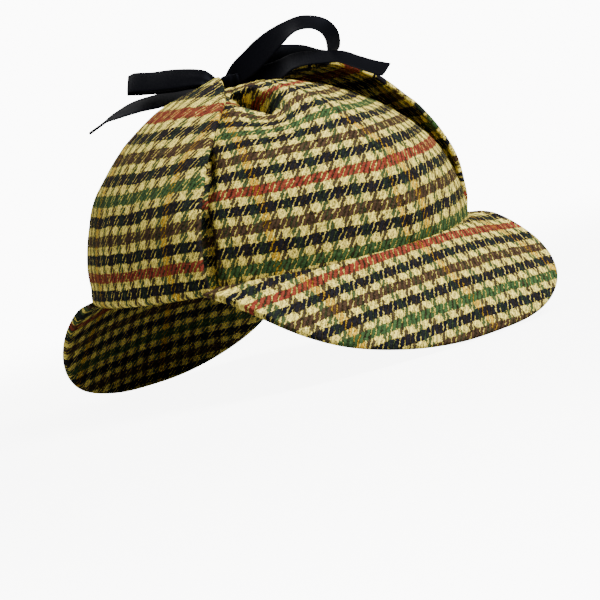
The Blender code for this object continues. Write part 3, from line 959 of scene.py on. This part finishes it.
# polyester satin shows fine ribs across its width; they are drawn wider than the real
# ones, so that they show
ribbon_at = add_node(tree, "ShaderNodeUVMap", uv_map="Cloth")
ribs = add_node(
    tree,
    "ShaderNodeTexWave",
    {
        "Vector": ribbon_at.outputs["UV"],
        "Scale": RIB_SCALE,
        "Distortion": 0.6,
        "Detail": 1.0,
    },
    bands_direction="Y",
)
rib_bump = add_node(
    tree,
    "ShaderNodeBump",
    {"Height": ribs.outputs["Fac"], "Strength": 0.25, "Distance": RIB_DEPTH},
)
tree.links.new(rib_bump.outputs["Normal"], shader.inputs["Normal"])
shader.inputs["Base Color"].default_value = paint(SATIN_BLACK)
shader.inputs["Roughness"].default_value = 0.52
shader.inputs["Specular IOR Level"].default_value = 0.04
shader.inputs["Specular Tint"].default_value = paint(SATIN_SHEEN)

# out, side and up are shares of BOW_SPAN from the knot. lean and swing turn the ribbon's
# width, in degrees, and width is a share of its full width, less where it is gathered.
Turn = namedtuple("Turn", "out side up lean swing width")
FRONT_LOOP = (
    Turn(out=-0.04, side=-0.045, up=0.00, lean=80, swing=0, width=0.45),
    Turn(out=0.02, side=-0.045, up=0.03, lean=78, swing=0, width=0.75),
    Turn(out=0.10, side=-0.045, up=0.07, lean=76, swing=0, width=0.95),
    Turn(out=0.22, side=-0.03, up=0.13, lean=70, swing=0, width=1.1),
    Turn(out=0.35, side=-0.01, up=0.21, lean=66, swing=0, width=1.15),
    Turn(out=0.49, side=0.02, up=0.29, lean=58, swing=0, width=1.1),
    Turn(out=0.61, side=0.06, up=0.35, lean=46, swing=0, width=1.0),
    Turn(out=0.74, side=0.10, up=0.385, lean=33, swing=0, width=1.0),
    Turn(out=0.85, side=0.16, up=0.37, lean=26, swing=2, width=1.0),
    Turn(out=0.94, side=0.22, up=0.31, lean=22, swing=10, width=1.0),
    Turn(out=0.98, side=0.28, up=0.22, lean=16, swing=18, width=1.0),
    Turn(out=0.97, side=0.33, up=0.12, lean=12, swing=20, width=1.0),
    Turn(out=0.93, side=0.35, up=0.04, lean=12, swing=14, width=1.0),
    Turn(out=0.82, side=0.33, up=0.05, lean=20, swing=0, width=1.0),
    Turn(out=0.64, side=0.26, up=0.12, lean=36, swing=0, width=1.0),
    Turn(out=0.40, side=0.14, up=0.13, lean=56, swing=0, width=1.0),
    Turn(out=0.20, side=0.05, up=0.04, lean=74, swing=0, width=0.65),
    Turn(out=0.118, side=0.045, up=0.0, lean=80, swing=0, width=0.42),
)
FRONT_TAIL = (
    Turn(out=0.118, side=0.0, up=-0.01, lean=80, swing=0, width=0.42),
    Turn(out=0.18, side=0.0, up=-0.03, lean=76, swing=0, width=0.55),
    Turn(out=0.28, side=0.01, up=-0.04, lean=66, swing=0, width=1.0),
    Turn(out=0.45, side=0.04, up=-0.01, lean=56, swing=0, width=1.0),
    Turn(out=0.61, side=0.06, up=0.04, lean=40, swing=0, width=1.0),
    Turn(out=0.75, side=0.08, up=0.04, lean=32, swing=0, width=1.0),
    Turn(out=0.94, side=0.10, up=0.01, lean=26, swing=0, width=1.0),
    Turn(out=1.09, side=0.10, up=-0.02, lean=24, swing=0, width=1.0),
    Turn(out=1.23, side=0.11, up=-0.10, lean=24, swing=0, width=1.0),
    Turn(out=1.37, side=0.12, up=-0.18, lean=26, swing=0, width=1.0),
    Turn(out=1.50, side=0.12, up=-0.24, lean=28, swing=0, width=1.0),
)
REAR_LOOP = (
    Turn(out=-0.118, side=-0.045, up=0.02, lean=80, swing=0, width=0.42),
    Turn(out=-0.18, side=-0.045, up=0.02, lean=70, swing=0, width=0.5),
    Turn(out=-0.29, side=-0.05, up=0.10, lean=50, swing=0, width=0.8),
    Turn(out=-0.56, side=-0.05, up=0.15, lean=50, swing=0, width=1.0),
    Turn(out=-0.82, side=-0.04, up=0.18, lean=48, swing=0, width=1.0),
    Turn(out=-1.01, side=-0.03, up=0.21, lean=48, swing=0, width=1.0),
    Turn(out=-1.08, side=0.00, up=0.19, lean=48, swing=0, width=1.0),
    Turn(out=-1.04, side=0.03, up=0.17, lean=48, swing=0, width=1.0),
    Turn(out=-0.86, side=0.03, up=0.14, lean=48, swing=0, width=1.0),
    Turn(out=-0.60, side=0.02, up=0.11, lean=50, swing=0, width=1.0),
    Turn(out=-0.30, side=0.00, up=0.07, lean=50, swing=0, width=0.8),
    Turn(out=-0.18, side=0.0, up=0.0, lean=70, swing=0, width=0.5),
    Turn(out=-0.118, side=0.0, up=0.0, lean=80, swing=0, width=0.42),
)
REAR_TAIL = (
    Turn(out=-0.118, side=0.045, up=0.0, lean=80, swing=0, width=0.42),
    Turn(out=-0.18, side=0.045, up=0.0, lean=64, swing=0, width=0.5),
    Turn(out=-0.31, side=0.05, up=0.0, lean=24, swing=0, width=0.8),
    Turn(out=-0.52, side=0.04, up=-0.01, lean=28, swing=0, width=1.0),
    Turn(out=-0.78, side=0.00, up=-0.02, lean=34, swing=0, width=1.0),
    Turn(out=-0.96, side=-0.02, up=-0.02, lean=32, swing=0, width=1.0),
    Turn(out=-1.09, side=-0.03, up=-0.03, lean=30, swing=0, width=1.0),
    Turn(out=-1.20, side=-0.04, up=-0.05, lean=27, swing=0, width=0.9),
    Turn(out=-1.33, side=-0.04, up=-0.08, lean=20, swing=0, width=0.7),
    Turn(out=-1.45, side=-0.04, up=-0.13, lean=12, swing=0, width=0.45),
    Turn(out=-1.58, side=-0.04, up=-0.18, lean=5, swing=0, width=0.12),
)


def smooth_course(rows, steps):
    """Points of a smooth curve through the rows of a table, as lists of its columns."""
    keys = [0.0]
    for a, b in zip(rows, rows[1:]):
        keys.append(keys[-1] + math.dist(a[:3], b[:3]))
    course = []
    for number in range(steps + 1):
        target = keys[-1] * number / steps
        i = max(k for k in range(len(rows) - 1) if keys[k] <= target + 1e-9)
        before, after = max(i - 1, 0), min(i + 2, len(rows) - 1)
        width = keys[i + 1] - keys[i]
        t = (target - keys[i]) / width
        point = []
        for column in range(len(rows[0])):
            a, b = rows[i][column], rows[i + 1][column]
            slope_a = (b - rows[before][column]) / (keys[i + 1] - keys[before]) * width
            slope_b = (rows[after][column] - a) / (keys[after] - keys[i]) * width
            point.append(
                (2 * t**3 - 3 * t**2 + 1) * a
                + (t**3 - 2 * t**2 + t) * slope_a
                + (3 * t**2 - 2 * t**3) * b
                + (t**3 - t**2) * slope_b
            )
        course.append(Turn(*point))
    return course


ahead = Vector((math.sin(BOW_HEADING), -math.cos(BOW_HEADING), 0.0))
aside = Vector((math.cos(BOW_HEADING), math.sin(BOW_HEADING), 0.0))
upward = Vector((0.0, 0.0, 1.0))
Strip = namedtuple("Strip", "node turns")
STRIPS = (
    Strip("ribbon_loop_front", FRONT_LOOP),
    Strip("ribbon_tail_front", FRONT_TAIL),
    Strip("ribbon_loop_rear", REAR_LOOP),
    Strip("ribbon_tail_rear", REAR_TAIL),
)
for strip in STRIPS:
    course = smooth_course(strip.turns, RIBBON_STEPS)
    spots = [
        KNOT_PLACE + (ahead * t.out + aside * t.side + upward * t.up) * BOW_SPAN
        for t in course
    ]
    gone = [0.0]
    for a, b in zip(spots, spots[1:]):
        gone.append(gone[-1] + (b - a).length)

    def ribbon_place(across, along, course=course, spots=spots, gone=gone):
        i = round(along * RIBBON_STEPS)
        turn = course[i]
        way = spots[min(i + 1, RIBBON_STEPS)] - spots[max(i - 1, 0)]
        way.normalize()
        lean, swing = math.radians(turn.lean), math.radians(turn.swing)
        flat = aside * math.cos(swing) + ahead * math.sin(swing)
        wide = flat * math.cos(lean) + upward * math.sin(lean)
        wide -= way * wide.dot(way)
        wide.normalize()
        share = 2 * across - 1
        half = RIBBON_WIDTH / 2 * turn.width
        gather = max(0.0, 1.0 - turn.width)
        face = wide.cross(way)
        ruffle = math.cos(share * RUFFLES) * gather * RUFFLE_DEEP - share**2 * RIBBON_CUP
        point = spots[i] + wide * half * share + face * ruffle
        return point, (share * RIBBON_WIDTH / 2, gone[i])

    piece = cloth(
        strip.node + "_satin",
        (RIBBON_CELLS, RIBBON_STEPS),
        ribbon_place,
        RIBBON_CLOTH,
        satin,
        offset=0.0,
    )
    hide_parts(strip.node)
    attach(piece, "root")

# The knot: the ribbon drawn tight round itself, a small soft cushion with the creases
# of its turns running round it.
KNOT_CUTS = 11
KNOT_ROUND = 0.55
KNOT_CREASE = 0.07
KNOT_CREASES = 9.0
bun = bmesh.new()
bmesh.ops.create_cube(bun, size=1.0)
bmesh.ops.subdivide_edges(bun, edges=bun.edges[:], cuts=KNOT_CUTS, use_grid_fill=True)
turn_to_bow = Matrix.Rotation(BOW_HEADING - math.pi / 2, 3, "Z")
for vertex in bun.verts:
    spot = vertex.co * 2
    square = max(abs(spot.x), abs(spot.y), abs(spot.z))
    ball = spot.normalized() * square
    spot = spot.lerp(ball, KNOT_ROUND)
    swell = 1.0 + KNOT_CREASE * math.cos(spot.x * KNOT_CREASES)
    spot = Vector(
        (
            spot.x * KNOT_SIZE.x / 2,
            spot.y * KNOT_SIZE.y / 2 * swell,
            spot.z * KNOT_SIZE.z / 2 * swell,
        )
    )
    vertex.co = placed(KNOT_PLACE + turn_to_bow @ spot)
for face in bun.faces:
    face.smooth = True
knot_map = bun.loops.layers.uv.new("Cloth")
for face in bun.faces:
    for loop in face.loops:
        loop[knot_map].uv = (loop.vert.co.x / MM, loop.vert.co.z / MM)
knot_mesh = bpy.data.meshes.new("ribbon_knot_satin")
bun.to_mesh(knot_mesh)
bun.free()
knot_mesh.materials.append(satin)
knot = bpy.data.objects.new("ribbon_knot_satin", knot_mesh)
bpy.context.scene.collection.objects.link(knot)
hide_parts("ribbon_knot")
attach(knot, "root")
